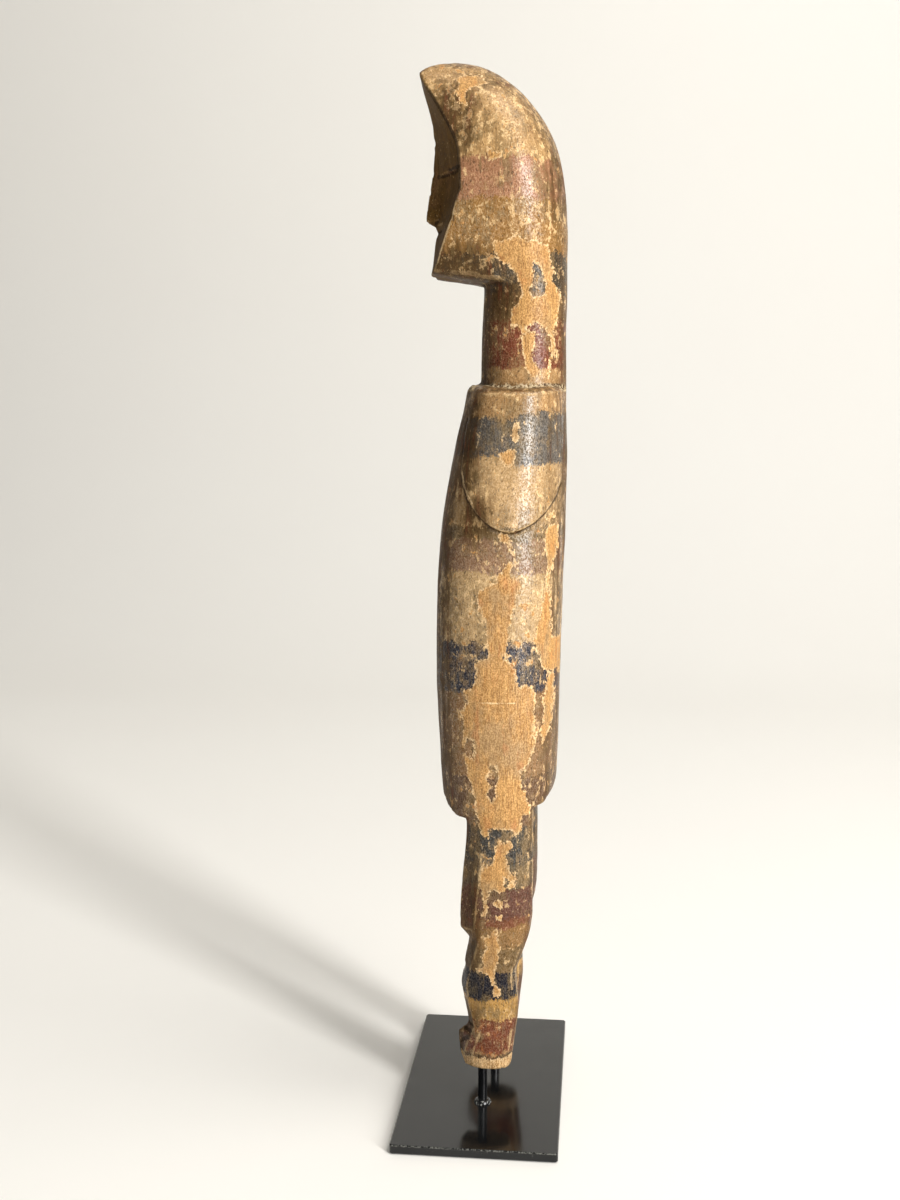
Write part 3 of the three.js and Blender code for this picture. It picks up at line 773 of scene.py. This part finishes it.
def oldPaint(wood, grime, cleanAndLit, notFace):
    level = wood["height"] + wood["shift"] * mm + spread(wood, finish["bandFray"]) * mm
    top = finish["paintTop"] * mm
    stops = [(foot * mm / top, tone(*colour)) for foot, colour in finish["bands"]]
    paint = level.node("ShaderNodeValToRGB", {"stops": stops}, {0: level * (1 / top)})
    paint = paint.toward(look["footOrange"], layer(wood, "orange") * below(wood, "footBand"))

    # rubbed thin here, and dirty or darkened by painted shade there
    paint = paint.toward(look["rubbed"], layer(wood, "rubbed"))
    paint = paint.toward(look["olive"], layer(wood, "olive"))
    # the colour of dirt and of painted shade
    dirtAndShade = layer(wood, "reddish").between(look["patinaAndShade"], look["redBrown"])
    dirtAndShade = dirtAndShade.toward(look["olive"], layer(wood, "oliveDirtAndShade"))
    span, strength = finish["dirtAndShade"]
    paint = paint.toward(dirtAndShade, grime.ease(*span, *strength))
    paint = paint.toward(look["faceBrown"], wood["face"] * layer(wood, "faceBrown"))
    paint = paint.toward(look["fleck"], layer(wood, "thin") * notFace * cleanAndLit)
    span, strength = finish["crackWear"]
    crack = abs(spread(wood, finish["crackClouds"]) + finish["crackLevel"]).ease(*finish["crackWidth"])
    paint = paint.toward(look["paleRim"], crack * wood["wear"].ease(*span, *strength) * notFace)
    paint = paint.toward(look["fleck"], layer(wood, "crumbs") * cleanAndLit)
    return paint.toward(look["deepPatinaAndShade"], layer(wood, "pits"))


def bareWood(wood):
    # warm, with fine dark pores along the grain and a pale rim where the paint broke off
    colour = layer(wood, "paleWood").between(look["bareWoodDeep"], look["bareWood"])
    colour = colour.toward(look["stain"], layer(wood, "stain"))
    colour = colour.toward(look["pore"], layer(wood, "pores").larger(layer(wood, "fibres")))
    colour = colour.toward(look["redStain"], layer(wood, "redStain"))
    rim = edge(wood, "rimStart") * edge(wood, "rimEnd") * layer(wood, "paleRim")
    colour = colour.toward(look["paleRim"], rim)
    return colour.toward(look["paleRim"], below(wood, "creamBand") * layer(wood, "cream"))


def edgeWork(wood, colour, inRecess, crust, cleanAndLit):
    # the line above the soles, pale scratches, rubbed ridges, recesses darkened by dirt and painted
    # shade, and the neck's crust
    soleLine = edge(wood, "soleAbove") * edge(wood, "soleBelow") * below(wood, "soleBand")
    colour = colour.toward(look["deepPatinaAndShade"], soleLine * finish["soleLine"])
    colour = colour.toward(look["paleRim"], edge(wood, "scratch") * layer(wood, "scratched"))
    colour = colour.toward(look["fleck"], edge(wood, "ridge") * layer(wood, "ridgeWorn") * cleanAndLit)
    darkRim = wood["rimDark"] * edge(wood, "darkRim")
    colour = colour.toward(look["deepPatinaAndShade"], darkRim * finish["darkRim"])
    paleRim = wood["rimPale"] * edge(wood, "paleRim")
    colour = colour.toward(look["paleRim"], paleRim * finish["paleRim"])
    # recesses darkened by dirt and painted shade
    colour = colour.toward(look["deepPatinaAndShade"], inRecess * finish["recess"])
    colour = colour.toward(look["patinaAndShade"], wood["crust"] * finish["crustFoot"])
    return colour.toward(look["crust"], crust * finish["crust"])


def paintedWood():
    material, place, surface = startMaterial("paintedWood")
    wood = woodParts(place)
    notFace = 1 - wood["face"]
    # grime and painted shade, frayed by the clouds
    grime = wood["grime"] * layer(wood, "grime")
    span, strength = finish["cleanAndLit"]
    cleanAndLit = grime.ease(*span, *strength)
    isBare = edge(wood, "lost").larger(layer(wood, "flaked") * notFace * cleanAndLit)
    inRecess = edge(wood, "recess")
    crust = wood["crust"] * layer(wood, "crust")

    colour = oldPaint(wood, grime, cleanAndLit, notFace).toward(bareWood(wood), isBare)
    colour = edgeWork(wood, colour, inRecess, crust, cleanAndLit)
    colour = colour.times(layer(wood, "specks").between(*finish["speckTones"]))
    colour = colour.times(layer(wood, "blots").between(*finish["blotTones"]))
    # painted shade: darker towards the feet
    low, high = finish["lowShadeBand"]
    lowShade = wood["height"].ease(low * mm, high * mm, finish["lowShade"], 1.0)
    place.plug(surface.inputs["Base Color"], colour.times(lowShade.grey()))

    rough = finish["rough"] + spread(wood, finish["roughClouds"]) + isBare * finish["bareRough"]
    rough = rough + (inRecess + crust) * finish["dirtRough"]
    span, strength = finish["matt"]
    matt = wood["face"].larger(grime.ease(*span, *strength))
    place.plug(surface.inputs["Roughness"], rough + matt * finish["mattRough"])
    polish = layer(wood, "polished") * (1 - isBare * finish["barePolish"]) * notFace
    polish = polish * wood["polish"] * grime.ease(*finish["polishGrimeAndShade"])
    place.plug(surface.inputs["Coat Weight"], polish)
    surface.inputs["Coat Roughness"].default_value = finish["coatRough"]
    surface.inputs["Coat IOR"].default_value = finish["coatIndex"]
    surface.inputs["Specular IOR Level"].default_value = finish["specular"]
    relief = sum(wood[part] * share for part, share in finish["relief"].items())
    relief = relief + (1 - isBare) * finish["paintStep"] + crust * finish["crustStep"]
    bump = place.node(
        "ShaderNodeBump", {},
        {"Strength": finish["bump"], "Distance": finish["grain"] * mm, "Height": relief})
    place.plug(surface.inputs["Normal"], bump)
    return material


metal = {
    "black": (22, 23, 24),
    "blackDeep": (14, 15, 16),
    "edge": (120, 120, 112),
    # pale weld specks by the plate, partly painted glints
    "bead": (190, 190, 184),
    "edgeWidth": (0.55, 0.1),       # mm: from where to where the arris is worn
    "edgeDepth": (0.9, 0.4),        # mm below the top
    "beadTop": (2.2, 1.2),          # mm above the plate
    "edgeWorn": 0.7,
    "beadBright": 0.8,
    "smudge": 22,                   # mm across, of the dull smudges
    "fine": 0.8,                    # mm across, of the fine grain
    "beadGrain": (0.56, 0.62),      # where in the fine grain the weld bead is pale, partly a painted glint
    "edgeGrain": (0.42, 0.58),      # and where the arris is worn
    "edgeSpots": (0.66, 0.70),      # and where spots beside it are
    "edgeSpotsWorn": 0.5,
    "blackSpan": (0.35, 0.65),      # from the deep black to the plain one, in the smudges
    "rough": 0.10,
    "smudgeSpan": (0.4, 0.7),
    "smudgeRough": 0.08,
    "wornRough": 0.4,
    "specular": 0.44,
    "bump": 0.15,
    "fineRelief": 0.3,
    "grain": 0.1,                   # mm that a full relief stands out
}


# pale specks on the rods' weld beads: bare weld and painted glints
def beadShine(place, fine, top):
    high, low = metal["beadTop"]
    near = place.part(2).ease(top + high * mm, top + low * mm)
    return fine.ease(*metal["beadGrain"]) * near


def wornArris(place, fine, corner):
    outer, inner = (v * mm for v in metal["edgeWidth"])
    low, high = (corner[2] - v * mm for v in metal["edgeDepth"])
    out = (abs(place.part(0)) - corner[0]).larger(abs(place.part(1)) - corner[1]).ease(-outer, -inner)
    arris = out * place.part(2).ease(low, high) * fine.ease(*metal["edgeGrain"])
    return arris.larger(out * fine.ease(*metal["edgeSpots"]) * metal["edgeSpotsWorn"])


def blackMetal(withBead):
    material, place, surface = startMaterial("blackMetalRod" if withBead else "blackMetalPlate")
    smudge = place.cloud(metal["smudge"], detail=4.0)
    fine = place.cloud(metal["fine"], rough=0.6)
    deep, black = tone(*metal["blackDeep"]), tone(*metal["black"])
    colour = smudge.ease(*metal["blackSpan"]).between(deep, black)
    low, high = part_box("base_plate")
    if withBead:
        spot = beadShine(place, fine, high[2])
        colour = colour.toward(tone(*metal["bead"]), spot * metal["beadBright"])
    else:
        spot = wornArris(place, fine, high)
        colour = colour.toward(tone(*metal["edge"]), spot * metal["edgeWorn"])
    place.plug(surface.inputs["Base Color"], colour)
    rough = metal["rough"] + smudge.ease(*metal["smudgeSpan"], 0.0, metal["smudgeRough"])
    place.plug(surface.inputs["Roughness"], rough + spot * metal["wornRough"])
    surface.inputs["Specular IOR Level"].default_value = metal["specular"]
    relief = smudge + fine * metal["fineRelief"] + spot
    bump = place.node(
        "ShaderNodeBump", {},
        {"Strength": metal["bump"], "Distance": metal["grain"] * mm, "Height": relief})
    place.plug(surface.inputs["Normal"], bump)
    return material


figure = carveFigure(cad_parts["figure"])
figure.data.materials.clear()
figure.data.materials.append(paintedWood())
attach(figure, "root")
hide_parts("figure")
print("figure carved and painted")

for name in ("base_plate", "left_rod", "right_rod"):
    finishOfNode = blackMetal(name != "base_plate")
    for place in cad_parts[name].material_slots:
        place.material = finishOfNode
print("stand finished")


# the room: a pale sweep behind and below, lengths in metres unless a note says mm

room = {
    "halfWidth": 4.0,
    "front": 3.0,
    "back": -1.6,
    "bend": 0.7,
    "bendSteps": 16,
    "height": 3.2,
    "below": 0.0002,
    "colour": (241, 238, 232),
    "colourPale": (243, 241, 235),
    "cloud": 300,           # mm across, of the lighter and darker places
    "rough": 0.9,
    "air": (236, 234, 230),
    "airLight": 0.16,
}


def paleSweep():
    back, bend, steps = room["back"], room["bend"], room["bendSteps"]
    profile = [(room["front"], 0.0), (back + bend, 0.0)]
    for i in range(1, steps + 1):
        angle = math.pi / 2 * i / steps
        profile.append((back + bend * (1 - math.sin(angle)), bend * (1 - math.cos(angle))))
    profile.append((back, room["height"]))
    sides = (-room["halfWidth"], room["halfWidth"])
    points = [(x, y, z - room["below"]) for x, z in profile for y in sides]
    faces = [(2 * i, 2 * i + 1, 2 * i + 3, 2 * i + 2) for i in range(len(profile) - 1)]
    mesh = bpy.data.meshes.new("sweep")
    mesh.from_pydata(points, [], faces)
    for polygon in mesh.polygons:
        polygon.use_smooth = True
    sweep = bpy.data.objects.new("sweep", mesh)
    bpy.context.collection.objects.link(sweep)
    material, place, surface = startMaterial("paleBoard")
    patches = place.cloud(room["cloud"], detail=2.0)
    colour = patches.between(tone(*room["colour"]), tone(*room["colourPale"]))
    place.plug(surface.inputs["Base Color"], colour)
    surface.inputs["Roughness"].default_value = room["rough"]
    mesh.materials.append(material)


def aim(thing, target):
    thing.rotation_euler = (Vector(target) - thing.location).to_track_quat("-Z", "Y").to_euler()


lights = {
    # azimuth and elevation in degrees, aimed at, distance, width, height, watts, colour
    "window": (45, 15, (0, 0, 0.31), 1.6, 0.22, 0.9, 28, (1.0, 0.99, 0.98)),
    "ceiling": (62, 58, (0, 0, 0.3), 2.2, 1.2, 1.2, 27, (1.0, 0.98, 0.95)),
    "wallWash": (10, 48, (-1.6, 0.3, 0.7), 2.2, 2.0, 0.6, 15.5, (1.0, 0.99, 0.97)),
}


def softLight(name, azimuth, elevation, middle, away, width, height, power, colour):
    data = bpy.data.lights.new(name, "AREA")
    data.shape = "RECTANGLE"
    data.size = width
    data.size_y = height
    data.energy = power
    data.color = colour
    thing = bpy.data.objects.new(name, data)
    bpy.context.collection.objects.link(thing)
    turn, rise = math.radians(azimuth), math.radians(elevation)
    thing.location = Vector(middle) + away * Vector(
        (math.cos(turn) * math.cos(rise), math.sin(turn) * math.cos(rise), math.sin(rise)))
    aim(thing, middle)


paleSweep()
for name, values in lights.items():
    softLight(name, *values)
world = bpy.data.worlds.new("room")
world.use_nodes = True
air = world.node_tree.nodes["Background"]
air.inputs["Color"].default_value = tone(*room["air"])
air.inputs["Strength"].default_value = room["airLight"]
bpy.context.scene.world = world
bpy.context.scene.view_settings.view_transform = "Standard"
print("room and lights set")

view = {
    "place": (0.6068, 0.0475, 0.3029),
    "forward": (-0.98629, -0.10383, -0.12828),
    "lens": 42.0,           # mm
    "nearest": 0.01,
}
lens = bpy.data.cameras.new("camera")
lens.lens = view["lens"]
lens.clip_start = view["nearest"]
camera = bpy.data.objects.new("camera", lens)
bpy.context.collection.objects.link(camera)
camera.location = view["place"]
aim(camera, Vector(view["place"]) + Vector(view["forward"]))
bpy.context.scene.camera = camera
print("camera set")
